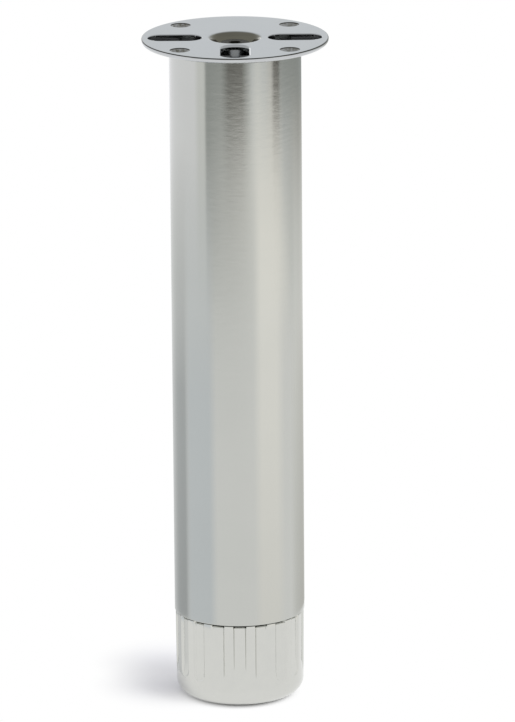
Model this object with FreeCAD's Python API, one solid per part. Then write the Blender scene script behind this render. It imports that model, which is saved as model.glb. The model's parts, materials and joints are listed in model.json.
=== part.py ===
"""Height adjustable table leg: a chromed steel tube with a stamped mounting plate on top
and a fluted foot under it, which screws in and out.

Millimetres, +Z up. The origin is on the leg's axis, on the floor under the glide.
The foot is at its lowest setting. -Y is the front, where the plate's third slot lies.
"""

import FreeCAD
import Part
import math
import os

# Tube
TUBE_OD = 60.0
TUBE_WALL = 1.5
TUBE_LENGTH = 267.0
TUBE_EDGE_ROUND = 0.4

# Mounting plate, stamped from one thickness of sheet
PLATE_THICKNESS = 2.5
PLATE_OVERHANG = 12.5       # from the tube's outside to the plate's rim
PLATE_EDGE_ROUND = 0.5
PLATE_LOW_ROUND = 1.2        # on the rim's lower edge
SCREW_COUNT = 4
SCREW_OFFSET = 5.0          # from the tube's outside to a screw hole's axis
SCREW_HOLE_D = 5.5
COUNTERSINK_D = 9.0
COUNTERSINK_DEPTH = 1.75
SLOT_WIDTH = 12.5
SLOT_RIM_MARGIN = 3.0       # metal between a slot and the plate's rim
SLOT_DISH_MARGIN = 2.0      # metal between a slot and the dish
SLOT_ANGLES = (0.0, 180.0, 270.0)

# Dish pressed into the middle of the plate, where the bolt's head hides
DISH_RIM_D = 26.0
DISH_DEPTH = 6.0
DISH_WALL_ANGLE = 70.0      # from the horizontal
DISH_BEND = 0.8             # inside radius of the two bends

# Pad between the tube and the plate, which closes most of each slot outside the tube
PAD_THICKNESS = 1.0
PAD_RIM_MARGIN = 5.5        # from the pad to the plate's rim
PAD_SEAT = 2.5              # how far the pad reaches inside the tube's bore
PAD_SLOT_WIDTH = 4.4

# Bolt that holds the plate to the bridge inside the tube
BOLT_D = 8.0
BOLT_LENGTH = 20.0
BOLT_HEAD_D = 14.0
BOLT_HEAD_HEIGHT = 2.8
BOLT_SOCKET_AF = 5.0
BOLT_SOCKET_DEPTH = 1.8
BOLT_HOLE_PLAY = 0.25       # between the bolt and the hole in the dish
WASHER_D = 15.0
WASHER_THICKNESS = 0.9
WASHER_TEETH = 10
WASHER_NOTCH = 1.6

# Bridge: a shallow steel cup welded into the top of the tube, with a weld nut under it
BRIDGE_THICKNESS = 2.5
BRIDGE_SKIRT = 12.0
BRIDGE_BEND = 2.0
BRIDGE_GAP = 0.2            # below the dish, so that the bolt pulls the plate onto the tube
WELD_NUT_AF = 14.0
WELD_NUT_HEIGHT = 6.5
WELD_NUT_COLLAR_D = 10.4

# Foot, moulded in one piece
FOOT_HEIGHT = 39.5
FOOT_STEP = 0.4             # the foot's top stands this far inside the tube's outside
FOOT_DRAFT = 0.25           # and its lower end this much further in
FOOT_WALL = 3.2
FOOT_FLOOR = 3.0
FOOT_TOP_ROUND = 0.25
FOOT_BOTTOM_ROUND = 6.5
FOOT_CAVITY_ROUND = 4.0
FOOT_BOSS_D = 26.0
FOOT_BOSS_RISE = 12.0       # solid length of boss over the spindle's head
RIB_COUNT = 6
RIB_THICKNESS = 2.0
FLUTE_COUNT = 18
FLUTE_WIDTH = 5.6
FLUTE_DEPTH = 1.1
FLUTE_FOOT = 11.0           # from the foot's underside to the flutes' lower ends
FLUTE_RUN_OUT = 8.0         # length over which a flute's floor rises at its lower end
FLUTE_RISE = 0.8
FLUTE_RELIEF = 1.2          # chamfer on a flute's floor at the foot's rim

# Glide: a disc that snaps into the foot's underside and stands still while the foot is turned
GLIDE_PROUD = 1.2
GLIDE_RECESS = 4.0
GLIDE_CONTACT_RIM = 1.8     # flat ring of foot left round the recess
GLIDE_PLAY = 0.2
GLIDE_BEAD = 0.5
GLIDE_BEAD_HEIGHT = 1.2
GLIDE_EDGE_ROUND = 0.8

# Spindle: a hexagon bolt held in the foot by a jam nut, and running in a nut in the plug
SPINDLE_D = 10.0
SPINDLE_HEAD_AF = 17.0
SPINDLE_HEAD_HEIGHT = 6.4
SPINDLE_HEAD_RECESS = 0.3   # the head stands this far above the glide's recess
TRAVEL = 25.0               # how far the foot screws out
SPINDLE_SPARE = 4.0         # thread left above the nut with the foot right out
THREAD_PLAY = 0.1
HEX_PLAY = 0.1              # between a hexagon and its pocket, on each side
FOOT_WASHER_D = 20.0
FOOT_WASHER_THICKNESS = 2.0
JAM_NUT_HEIGHT = 5.0
NUT_AF = 17.0
NUT_HEIGHT = 8.0

# Plug pressed into the tube's lower end, with a closed sleeve over the spindle
SEAM_GAP = 0.3              # between the foot and the tube
PLUG_RECESS = 1.5           # the plug's underside stands this far inside the tube
PLUG_HEIGHT = 34.0
PLUG_WALL = 2.5
PLUG_FLOOR = 4.0
PLUG_BOSS_D = 27.0
PLUG_BOSS_ROOF = 5.0        # thickness of the boss over the nut
SLEEVE_WALL = 2.5
SLEEVE_ROOM = 2.0           # between the spindle's end and the sleeve's cap
PLUG_LEAD_IN = 1.5
CRUSH_RIB_COUNT = 8
CRUSH_RIB_HEIGHT = 0.5
CRUSH_RIB_D = 3.0
PRESS_PLAY = 0.05           # between a pressed piece and the tube's bore

HEX_CHAMFER_ANGLE = 30.0
HEX_FACE_SHARE = 0.95       # the flat end of a hexagon, as a share of its width
END_CHAMFER = 1.2           # on the ends of bolts
OVERCUT = 1.0               # how far a cutter runs past the face that it opens

# Radii and heights that follow from the sizes above
TUBE_R = TUBE_OD / 2
BORE_R = TUBE_R - TUBE_WALL
PLATE_R = TUBE_R + PLATE_OVERHANG
FOOT_TOP_R = TUBE_R - FOOT_STEP
FOOT_LOW_R = FOOT_TOP_R - FOOT_DRAFT
RECESS_R = FOOT_LOW_R - FOOT_BOTTOM_ROUND - GLIDE_CONTACT_RIM
SCREW_R = TUBE_R + SCREW_OFFSET
SLOT_START_R = DISH_RIM_D / 2 + SLOT_DISH_MARGIN + SLOT_WIDTH / 2
SLOT_END_R = PLATE_R - SLOT_RIM_MARGIN - SLOT_WIDTH / 2

FOOT_BOTTOM_Z = GLIDE_PROUD
RECESS_Z = FOOT_BOTTOM_Z + GLIDE_RECESS
FOOT_FLOOR_Z = RECESS_Z + FOOT_FLOOR
HEAD_TOP_Z = RECESS_Z + SPINDLE_HEAD_RECESS + SPINDLE_HEAD_HEIGHT
FOOT_BOSS_Z = HEAD_TOP_Z + FOOT_BOSS_RISE
JAM_NUT_Z = FOOT_BOSS_Z + FOOT_WASHER_THICKNESS
FOOT_TOP_Z = FOOT_BOTTOM_Z + FOOT_HEIGHT

TUBE_BOTTOM_Z = FOOT_TOP_Z + SEAM_GAP
PLUG_BOTTOM_Z = TUBE_BOTTOM_Z + PLUG_RECESS
NUT_TOP_Z = PLUG_BOTTOM_Z + NUT_HEIGHT
PLUG_BOSS_Z = NUT_TOP_Z + PLUG_BOSS_ROOF
SPINDLE_TOP_Z = NUT_TOP_Z + TRAVEL + SPINDLE_SPARE
SLEEVE_Z = SPINDLE_TOP_Z + SLEEVE_ROOM
TUBE_TOP_Z = TUBE_BOTTOM_Z + TUBE_LENGTH
PAD_TOP_Z = TUBE_TOP_Z + PAD_THICKNESS
PLATE_TOP_Z = PAD_TOP_Z + PLATE_THICKNESS
DISH_FLOOR_Z = PLATE_TOP_Z - DISH_DEPTH
BRIDGE_TOP_Z = DISH_FLOOR_Z - PLATE_THICKNESS - BRIDGE_GAP
BRIDGE_UNDER_Z = BRIDGE_TOP_Z - BRIDGE_THICKNESS

ORIGIN = FreeCAD.Vector(0, 0, 0)
UP = FreeCAD.Vector(0, 0, 1)


def turned(corners):
    """A body turned about Z from the corners of its half section, in order.

    A corner is (radius, height), or (radius, height, rounding).
    """
    points = [FreeCAD.Vector(c[0], 0, c[1]) for c in corners]
    count = len(corners)
    arcs = []
    for i, corner in enumerate(corners):
        rounding = corner[2] if len(corner) > 2 else 0.0
        here = points[i]
        if rounding <= 0:
            arcs.append((here, None, here))
            continue
        back = (points[i - 1] - here).normalize()
        ahead = (points[(i + 1) % count] - here).normalize()
        half = math.acos(max(-1.0, min(1.0, back.dot(ahead)))) / 2
        reach = rounding / math.tan(half)
        bisector = (back + ahead).normalize()
        middle = here + bisector * (rounding / math.sin(half) - rounding)
        arcs.append((here + back * reach, middle, here + ahead * reach))
    edges = []
    for i, (start, middle, end) in enumerate(arcs):
        if middle is not None:
            edges.append(Part.Arc(start, middle, end).toShape())
        following = arcs[(i + 1) % count][0]
        if end.distanceToPoint(following) > 1e-6:
            edges.append(Part.LineSegment(end, following).toShape())
    section = Part.Face(Part.Wire(edges))
    return section.revolve(ORIGIN, UP, 360)


def cylinder(radius, bottom, top, x=0.0):
    return Part.makeCylinder(radius, top - bottom, FreeCAD.Vector(x, 0, bottom))


def ring(outer, inner, bottom, top):
    return cylinder(outer, bottom, top).cut(cylinder(inner, bottom - OVERCUT, top + OVERCUT))


def hexagon(across_flats, bottom, top):
    radius = across_flats / math.sqrt(3)
    corners = [
        FreeCAD.Vector(radius * math.cos(math.radians(a)), radius * math.sin(math.radians(a)), bottom)
        for a in range(0, 420, 60)
    ]
    return Part.Face(Part.makePolygon(corners)).extrude(FreeCAD.Vector(0, 0, top - bottom))


def chamfered_hexagon(across_flats, bottom, top):
    """A bolt's head or a nut: its corners are turned down at both ends."""
    corner_r = across_flats / math.sqrt(3)
    flat_r = across_flats / 2 * HEX_FACE_SHARE
    drop = (corner_r - flat_r) * math.tan(math.radians(HEX_CHAMFER_ANGLE))
    turning = turned([
        (0, bottom), (flat_r, bottom), (corner_r, bottom + drop),
        (corner_r, top - drop), (flat_r, top), (0, top),
    ])
    return hexagon(across_flats, bottom, top).common(turning)


def nut(across_flats, bore_d, bottom, top):
    bore = cylinder(bore_d / 2, bottom - OVERCUT, top + OVERCUT)
    return chamfered_hexagon(across_flats, bottom, top).cut(bore)


def around(shape, count, first=0.0):
    """Copies of a shape at even steps about Z."""
    copies = []
    for i in range(count):
        copy = shape.copy()
        copy.rotate(ORIGIN, UP, first + i * 360.0 / count)
        copies.append(copy)
    return copies


def radial_rib(inner_r, outer_r, thickness, bottom, top):
    corner = FreeCAD.Vector(inner_r, -thickness / 2, bottom)
    return Part.makeBox(outer_r - inner_r, thickness, top - bottom, corner)


def top_plate():
    """Round sheet with a dish pressed into it, countersunk screw holes outside the tube, and three slots."""
    angle = math.radians(DISH_WALL_ANGLE)
    miter = PLATE_THICKNESS * math.tan(angle / 2)
    outer_bend = DISH_BEND + PLATE_THICKNESS
    rim_r = DISH_RIM_D / 2 - outer_bend * math.tan(angle / 2)
    floor_r = rim_r - DISH_DEPTH / math.tan(angle)
    hole_r = BOLT_D / 2 + BOLT_HOLE_PLAY
    floor_under_z = DISH_FLOOR_Z - PLATE_THICKNESS
    plate = turned([
        (PLATE_R, PAD_TOP_Z, PLATE_LOW_ROUND),
        (PLATE_R, PLATE_TOP_Z, PLATE_EDGE_ROUND),
        (rim_r, PLATE_TOP_Z, outer_bend),
        (floor_r, DISH_FLOOR_Z, DISH_BEND),
        (hole_r, DISH_FLOOR_Z),
        (hole_r, floor_under_z),
        (floor_r + miter, floor_under_z, outer_bend),
        (rim_r + miter, PAD_TOP_Z, DISH_BEND),
    ])
    cutters = around(screw_hole_cutter(), SCREW_COUNT, 180.0 / SCREW_COUNT)
    cutters += slot_cutters(SLOT_WIDTH, SLOT_START_R, PAD_TOP_Z, PLATE_TOP_Z)
    return plate.cut(cutters)


def screw_hole_cutter():
    """A screw hole on the +X side, countersunk from above."""
    hole_r = SCREW_HOLE_D / 2
    sink_r = COUNTERSINK_D / 2
    slope = (sink_r - hole_r) / COUNTERSINK_DEPTH
    bottom = PAD_TOP_Z - OVERCUT
    hole = turned([
        (0, bottom),
        (hole_r, bottom),
        (hole_r, PLATE_TOP_Z - COUNTERSINK_DEPTH),
        (sink_r + slope * OVERCUT, PLATE_TOP_Z + OVERCUT),
        (0, PLATE_TOP_Z + OVERCUT),
    ])
    hole.translate(FreeCAD.Vector(SCREW_R, 0, 0))
    return hole


def slot_cutters(width, start_r, bottom, top):
    """Round-ended slots at the plate's slot angles, whose outer ends have their centres at SLOT_END_R."""
    half = width / 2
    low = bottom - OVERCUT
    high = top + OVERCUT
    middle = Part.makeBox(SLOT_END_R - start_r, width, high - low, FreeCAD.Vector(start_r, -half, low))
    slot = middle.fuse([cylinder(half, low, high, x) for x in (start_r, SLOT_END_R)]).removeSplitter()
    slots = []
    for angle in SLOT_ANGLES:
        turned_slot = slot.copy()
        turned_slot.rotate(ORIGIN, UP, angle)
        slots.append(turned_slot)
    return slots


def plate_pad():
    """Washer between the tube and the plate, with a narrow slot under each slot of the plate."""
    inner_r = BORE_R - PAD_SEAT
    washer = ring(PLATE_R - PAD_RIM_MARGIN, inner_r, TUBE_TOP_Z, PAD_TOP_Z)
    hole = cylinder(SCREW_HOLE_D / 2, TUBE_TOP_Z - OVERCUT, PAD_TOP_Z + OVERCUT, SCREW_R)
    holes = around(hole, SCREW_COUNT, 180.0 / SCREW_COUNT)
    return washer.cut(holes + slot_cutters(PAD_SLOT_WIDTH, inner_r - OVERCUT, TUBE_TOP_Z, PAD_TOP_Z))


def lock_washer():
    """Toothed washer under the bolt's head."""
    bottom = DISH_FLOOR_Z
    top = bottom + WASHER_THICKNESS
    washer = ring(WASHER_D / 2, BOLT_D / 2 + BOLT_HOLE_PLAY, bottom, top)
    rim_r = WASHER_D / 2
    notch = radial_rib(rim_r - WASHER_NOTCH, rim_r + OVERCUT, WASHER_NOTCH, bottom - OVERCUT, top + OVERCUT)
    return washer.cut(around(notch, WASHER_TEETH))


def plate_bolt():
    """Low-headed bolt with a hexagon socket."""
    seat = DISH_FLOOR_Z + WASHER_THICKNESS
    top = seat + BOLT_HEAD_HEIGHT
    tip = seat - BOLT_LENGTH
    bolt = turned([
        (0, tip), (BOLT_D / 2 - END_CHAMFER, tip), (BOLT_D / 2, tip + END_CHAMFER),
        (BOLT_D / 2, seat), (BOLT_HEAD_D / 2, seat), (BOLT_HEAD_D / 2, top, BOLT_HEAD_HEIGHT / 3), (0, top),
    ])
    return bolt.cut(hexagon(BOLT_SOCKET_AF, top - BOLT_SOCKET_DEPTH, top + OVERCUT))


def top_bridge():
    """Pressed cup across the tube's bore that the bolt pulls against."""
    outer_r = BORE_R - PRESS_PLAY
    outer_bend = BRIDGE_BEND + BRIDGE_THICKNESS
    hole_r = WELD_NUT_COLLAR_D / 2 + HEX_PLAY
    skirt_z = BRIDGE_TOP_Z - BRIDGE_SKIRT
    return turned([
        (hole_r, BRIDGE_UNDER_Z), (hole_r, BRIDGE_TOP_Z),
        (outer_r, BRIDGE_TOP_Z, outer_bend), (outer_r, skirt_z),
        (outer_r - BRIDGE_THICKNESS, skirt_z), (outer_r - BRIDGE_THICKNESS, BRIDGE_UNDER_Z, BRIDGE_BEND),
    ])


def bridge_nut():
    """Weld nut with a collar that stands in the bridge's hole."""
    bottom = BRIDGE_UNDER_Z - WELD_NUT_HEIGHT
    body = chamfered_hexagon(WELD_NUT_AF, bottom, BRIDGE_UNDER_Z)
    collar = cylinder(WELD_NUT_COLLAR_D / 2, BRIDGE_UNDER_Z - OVERCUT, BRIDGE_TOP_Z)
    bore = cylinder(BOLT_D / 2 + PRESS_PLAY, bottom - OVERCUT, BRIDGE_TOP_Z + OVERCUT)
    return body.fuse(collar).cut(bore).removeSplitter()


def tube():
    return turned([
        (BORE_R, TUBE_BOTTOM_Z), (TUBE_R, TUBE_BOTTOM_Z, TUBE_EDGE_ROUND),
        (TUBE_R, TUBE_TOP_Z), (BORE_R, TUBE_TOP_Z),
    ])


def bottom_plug():
    """Moulded plug: a cup with a ribbed boss that holds the nut from below, and a sleeve closed on top."""
    top = PLUG_BOTTOM_Z + PLUG_HEIGHT
    skirt_r = BORE_R - PRESS_PLAY - CRUSH_RIB_HEIGHT
    inner_r = skirt_r - PLUG_WALL
    boss_r = PLUG_BOSS_D / 2
    floor_z = PLUG_BOTTOM_Z + PLUG_FLOOR
    bore_r = SPINDLE_D / 2 + THREAD_PLAY * 2
    sleeve_r = bore_r + SLEEVE_WALL
    sleeve_top = SLEEVE_Z + SLEEVE_WALL
    cup = turned([
        (bore_r, PLUG_BOTTOM_Z), (skirt_r, PLUG_BOTTOM_Z), (skirt_r, top - PLUG_LEAD_IN),
        (skirt_r - PLUG_LEAD_IN, top), (inner_r, top), (inner_r, floor_z, PLUG_WALL / 2),
        (boss_r, floor_z), (boss_r, PLUG_BOSS_Z), (sleeve_r, PLUG_BOSS_Z),
        (sleeve_r, sleeve_top, SLEEVE_WALL / 2), (0, sleeve_top), (0, SLEEVE_Z), (bore_r, SLEEVE_Z),
    ])
    rib_root_z = PLUG_BOTTOM_Z + PLUG_FLOOR / 2
    rib = radial_rib(boss_r - OVERCUT, inner_r + PLUG_WALL / 2, RIB_THICKNESS, rib_root_z, PLUG_BOSS_Z)
    crush_r = skirt_r + CRUSH_RIB_HEIGHT - CRUSH_RIB_D / 2
    crush = cylinder(CRUSH_RIB_D / 2, PLUG_BOTTOM_Z, top - PLUG_LEAD_IN, crush_r)
    crush = crush.cut(cylinder(inner_r + PLUG_WALL / 2, PLUG_BOTTOM_Z - OVERCUT, top + OVERCUT))
    plug = cup.fuse(around(rib, RIB_COUNT) + around(crush, CRUSH_RIB_COUNT, 180.0 / CRUSH_RIB_COUNT))
    pocket = hexagon(NUT_AF + 2 * HEX_PLAY, PLUG_BOTTOM_Z - OVERCUT, NUT_TOP_Z)
    return plug.cut(pocket).removeSplitter()


def spindle_nut():
    return nut(NUT_AF, SPINDLE_D + 2 * THREAD_PLAY, PLUG_BOTTOM_Z, NUT_TOP_Z)


def spindle():
    """Hexagon bolt, head down, without its thread."""
    head = chamfered_hexagon(SPINDLE_HEAD_AF, HEAD_TOP_Z - SPINDLE_HEAD_HEIGHT, HEAD_TOP_Z)
    shank_r = SPINDLE_D / 2
    shank = turned([
        (0, HEAD_TOP_Z - OVERCUT), (shank_r, HEAD_TOP_Z - OVERCUT), (shank_r, SPINDLE_TOP_Z - END_CHAMFER),
        (shank_r - END_CHAMFER, SPINDLE_TOP_Z), (0, SPINDLE_TOP_Z),
    ])
    return head.fuse(shank).removeSplitter()


def foot_washer():
    return ring(FOOT_WASHER_D / 2, SPINDLE_D / 2 + THREAD_PLAY, FOOT_BOSS_Z, JAM_NUT_Z)


def jam_nut():
    return nut(NUT_AF, SPINDLE_D + 2 * THREAD_PLAY, JAM_NUT_Z, JAM_NUT_Z + JAM_NUT_HEIGHT)


def flute_cutter():
    """One round-ended flute that faces -Y. Its flat floor runs out below and is chamfered at the rim."""
    half = FLUTE_WIDTH / 2
    floor_y = -(FOOT_TOP_R - FLUTE_DEPTH)
    front_y = floor_y - FLUTE_DEPTH - OVERCUT
    back_y = floor_y + FLUTE_RELIEF + OVERCUT
    low_z = FOOT_BOTTOM_Z + FLUTE_FOOT
    high_z = FOOT_TOP_Z + OVERCUT
    end_z = low_z + half
    run = Part.makeBox(FLUTE_WIDTH, back_y - front_y, high_z - end_z, FreeCAD.Vector(-half, front_y, end_z))
    end_middle = FreeCAD.Vector(0, front_y, end_z)
    end = Part.makeCylinder(half, back_y - front_y, end_middle, FreeCAD.Vector(0, 1, 0))
    return run.fuse(end).removeSplitter().common(flute_section(front_y, floor_y, back_y, low_z, high_z))


def flute_section(front_y, floor_y, back_y, low_z, high_z):
    """What a flute removes, seen from the side, over the flute's width."""
    run_radius = (FLUTE_RUN_OUT ** 2 + FLUTE_RISE ** 2) / (2 * FLUTE_RISE)
    half_rise = run_radius - math.sqrt(run_radius ** 2 - (FLUTE_RUN_OUT / 2) ** 2)
    chamfer_z = FOOT_TOP_Z - FLUTE_RELIEF
    points = [
        FreeCAD.Vector(-FLUTE_WIDTH, y, z) for y, z in (
            (floor_y - FLUTE_RISE, low_z), (front_y, low_z), (front_y, high_z),
            (back_y, high_z), (floor_y, chamfer_z), (floor_y, low_z + FLUTE_RUN_OUT),
        )
    ]
    middle = FreeCAD.Vector(-FLUTE_WIDTH, floor_y - half_rise, low_z + FLUTE_RUN_OUT / 2)
    edges = [Part.LineSegment(a, b).toShape() for a, b in zip(points, points[1:])]
    edges.append(Part.Arc(points[-1], middle, points[0]).toShape())
    return Part.Face(Part.Wire(edges)).extrude(FreeCAD.Vector(2 * FLUTE_WIDTH, 0, 0))


def foot():
    """Fluted cup with a ribbed boss for the spindle, and a recess under it for the glide."""
    outside = turned([
        (0, FOOT_BOTTOM_Z), (FOOT_LOW_R, FOOT_BOTTOM_Z, FOOT_BOTTOM_ROUND),
        (FOOT_TOP_R, FOOT_TOP_Z, FOOT_TOP_ROUND), (0, FOOT_TOP_Z),
    ])
    boss_r = FOOT_BOSS_D / 2
    cavity_r = FOOT_LOW_R - FOOT_WALL
    cavity = turned([
        (boss_r, FOOT_FLOOR_Z), (cavity_r, FOOT_FLOOR_Z, FOOT_CAVITY_ROUND),
        (FOOT_TOP_R - FOOT_WALL, FOOT_TOP_Z + OVERCUT), (0, FOOT_TOP_Z + OVERCUT),
        (0, FOOT_BOSS_Z), (boss_r, FOOT_BOSS_Z),
    ])
    rib_root_z = RECESS_Z + FOOT_FLOOR / 2
    rib = radial_rib(boss_r - OVERCUT, cavity_r + FOOT_WALL / 2, RIB_THICKNESS, rib_root_z, FOOT_BOSS_Z)
    shell = outside.cut(cavity).fuse(around(rib, RIB_COUNT, 180.0 / RIB_COUNT))
    bead_z = RECESS_Z - GLIDE_RECESS / 2
    cutters = [
        cylinder(RECESS_R, FOOT_BOTTOM_Z - OVERCUT, RECESS_Z),
        glide_bead(RECESS_R + GLIDE_BEAD, bead_z, GLIDE_BEAD_HEIGHT + 2 * GLIDE_PLAY),
        hexagon(SPINDLE_HEAD_AF + 2 * HEX_PLAY, RECESS_Z - OVERCUT, HEAD_TOP_Z),
        cylinder(SPINDLE_D / 2 + THREAD_PLAY, HEAD_TOP_Z - OVERCUT, FOOT_BOSS_Z + OVERCUT),
    ]
    return shell.cut(cutters + around(flute_cutter(), FLUTE_COUNT)).removeSplitter()


def glide_bead(radius, middle_z, height):
    """Ring with a pointed rim, which snaps into a groove of the same form."""
    root_r = radius - 2 * GLIDE_BEAD
    return turned([
        (0, middle_z - height / 2), (root_r, middle_z - height / 2), (radius, middle_z),
        (root_r, middle_z + height / 2), (0, middle_z + height / 2),
    ])


def glide():
    radius = RECESS_R - GLIDE_PLAY
    top = RECESS_Z - GLIDE_PLAY
    disc = turned([
        (0, 0), (radius, 0, GLIDE_EDGE_ROUND), (radius, top), (0, top),
    ])
    bead_z = RECESS_Z - GLIDE_RECESS / 2
    return disc.fuse(glide_bead(radius + GLIDE_BEAD, bead_z, GLIDE_BEAD_HEIGHT)).removeSplitter()


PIECES = {
    "top_plate": top_plate,
    "plate_pad": plate_pad,
    "plate_bolt": plate_bolt,
    "lock_washer": lock_washer,
    "top_bridge": top_bridge,
    "bridge_nut": bridge_nut,
    "tube": tube,
    "bottom_plug": bottom_plug,
    "spindle_nut": spindle_nut,
    "spindle": spindle,
    "foot_washer": foot_washer,
    "jam_nut": jam_nut,
    "foot": foot,
    "glide": glide,
}


def main():
    os.makedirs("parts", exist_ok=True)
    for name, make in PIECES.items():
        shape = make()
        box = shape.BoundBox
        print(f"{name}: {len(shape.Solids)} solid, valid {shape.isValid()}, {shape.Volume:.0f} mm3, "
              f"z {box.ZMin:.2f} to {box.ZMax:.2f}, width {box.XLength:.2f}")
        shape.exportStep(f"parts/{name}.step")


main()
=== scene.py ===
"""Looks of the height adjustable table leg: chromed tube, stamped plate and fluted foot in a pale studio.

Metres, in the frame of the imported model. The camera stands on the -Y side, as in the photo.
"""

import json
import math

import bmesh
import bpy
from mathutils import Matrix, Vector


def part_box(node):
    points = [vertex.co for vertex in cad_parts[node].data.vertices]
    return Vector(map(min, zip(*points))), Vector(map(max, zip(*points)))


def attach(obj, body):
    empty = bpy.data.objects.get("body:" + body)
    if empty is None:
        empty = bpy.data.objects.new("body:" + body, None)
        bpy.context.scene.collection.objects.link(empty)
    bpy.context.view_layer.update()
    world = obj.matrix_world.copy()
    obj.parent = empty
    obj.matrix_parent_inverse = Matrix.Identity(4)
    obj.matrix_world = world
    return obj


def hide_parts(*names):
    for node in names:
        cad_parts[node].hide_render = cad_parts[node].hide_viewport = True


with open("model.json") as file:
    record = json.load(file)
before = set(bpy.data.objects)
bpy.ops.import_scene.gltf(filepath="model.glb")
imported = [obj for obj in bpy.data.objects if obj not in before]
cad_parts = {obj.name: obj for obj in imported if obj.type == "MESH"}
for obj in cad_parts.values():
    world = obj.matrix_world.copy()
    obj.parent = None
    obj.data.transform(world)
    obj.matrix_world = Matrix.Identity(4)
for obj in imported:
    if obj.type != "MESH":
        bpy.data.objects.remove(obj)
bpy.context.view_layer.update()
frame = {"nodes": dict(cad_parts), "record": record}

# Places that the frame gives
TUBE_LOW, TUBE_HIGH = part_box("tube")
PLATE_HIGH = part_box("top_plate")[1]
FOOT_LOW, FOOT_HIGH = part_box("foot")
GLIDE_LOW, GLIDE_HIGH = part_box("glide")
SPINDLE_LOW, SPINDLE_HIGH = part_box("spindle")
BOSS_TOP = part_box("foot_washer")[0].z
DISH_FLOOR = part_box("lock_washer")[0].z
TUBE_R = TUBE_HIGH.x
PLATE_R = PLATE_HIGH.x
PLATE_TOP = PLATE_HIGH.z
FOOT_BOTTOM = FOOT_LOW.z
FOOT_TOP = FOOT_HIGH.z

# Tube
TUBE_WALL = 0.0015
TUBE_EDGE_ROUND = 0.0004

# Mounting plate
PLATE_THICKNESS = 0.0025
PLATE_EDGE_ROUND = 0.0005
PLATE_LOW_ROUND = 0.0019
BURR_ROUND = 0.00015         # on the edges of the plate's underside
SCREW_RING_R = 0.035
SCREW_ANGLES = (45.0, 135.0, 225.0, 315.0)
SCREW_HOLE_R = 0.00275
COUNTERSINK_R = 0.0045
COUNTERSINK_DEPTH = 0.00175
COUNTERSINK_LIP = 0.0003     # straight wall over the countersink
COUNTERSINK_ROUND = 0.0001
SLOT_HALF = 0.00625
SLOT_START = 0.02125         # radii at which a slot's round ends have their centres
SLOT_END = 0.03325
SLOT_ROUND = 0.0004          # on a slot's upper edge
FRONT_SLOT_ROUND = 0.0012
SLOTS = ((0.0, SLOT_ROUND), (180.0, SLOT_ROUND), (270.0, FRONT_SLOT_ROUND))
DISH_RIM_R = 0.013
DISH_WALL_ANGLE = math.radians(70.0)
DISH_BEND = 0.0008
DISH_SHADE_START = 0.00005         # depths in the dish at which its painted shade starts, and is full
DISH_SHADE_FULL = 0.0004
DISH_SHADE_FACING = 0.2            # upright part of the normal from which the painted shade in the dish is full
EDGE_LINE = 0.0003           # depth of the painted dark reflection along an edge
EDGE_FADE = 0.0002           # distance over which it ends
BOLT_HOLE_R = 0.00425

# Foot
FOOT_STEP = 0.0004           # the foot's top stands this far inside the tube's outside
FOOT_DRAFT = 0.00025
FOOT_WALL = 0.0032
FOOT_FLOOR = 0.003
FOOT_TOP_ROUND = 0.00025
FOOT_INNER_ROUND = 0.0003
FOOT_BOTTOM_ROUND = 0.0065
FOOT_CAVITY_ROUND = 0.004
FOOT_BOSS_R = 0.013
FOOT_RIM = 0.0018            # flat ring of foot round the glide
RECESS_DEPTH = 0.004
BEAD = 0.0005
BEAD_HEIGHT = 0.0012
GLIDE_PLAY = 0.0002
GLIDE_EDGE_ROUND = 0.0008
RIB_COUNT = 6
RIB_THICKNESS = 0.002
FLUTE_COUNT = 18
FLUTE_HALF = 0.0028
FLUTE_DEPTH = 0.0011
FLUTE_FOOT = 0.011           # from the foot's underside to the flutes' lower ends
FLUTE_RUN_OUT = 0.008        # length over which a flute's floor rises at its lower end
FLUTE_RISE = 0.0008
FLUTE_RELIEF = 0.0012        # chamfer on a flute's floor at the foot's rim
FLUTE_EDGE = 0.00055         # half the width over which a flute's side is rounded off

# Spindle, M10 x 1.5, right-hand
SPINDLE_R = 0.005
SPINDLE_HEAD_AF = 0.017
SPINDLE_HEAD_HEIGHT = 0.0064
THREAD_PITCH = 0.0015
THREAD_DEPTH = 0.00092
THREAD_PLAY = 0.0001
HEX_PLAY = 0.0001
THREAD_FORM = (0.0, 0.0, 0.5, 1.0, 1.0, 0.75, 0.5, 0.25)     # shares of the depth along a pitch
END_CHAMFER = 0.0012

# Camera, solved from the photo's outlines
CAMERA_DISTANCE = 3.3
CAMERA_ELEVATION = math.radians(15.77)
CAMERA_TARGET = Vector((0.00912, 0.0, 0.15909))
CAMERA_ROLL = math.radians(0.446)
CAMERA_LENS = 358.9          # mm

# Studio: cards that only reflections show, the floor, the sky and the lamp
RING_R = 0.72
RING_HEIGHT = 0.9
NEAR_RING_R = 0.055
BLUE_RING_R = 0.054
NEAR_RING_LOW = 0.0305
NEAR_RING_HIGH = 0.265
GLARE_TURN = math.radians(-163.0)     # from the camera's side, positive to its right
GLARE_DISTANCE = 0.7
GLARE_R = 0.15
GLARE_POWER = 1.5
FLOOR_R = 6.0
FLOOR_TONE = (0.95, 0.95, 0.95, 1.0)
SKY_TONE = (0.74, 0.74, 0.78, 1.0)
SKY_SEEN = (1.0, 1.0, 1.0, 1.0)
KEY_PLACE = Vector((1.5, -0.7, 1.4))
KEY_SIZE = 1.6
KEY_POWER = 28.0

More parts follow.
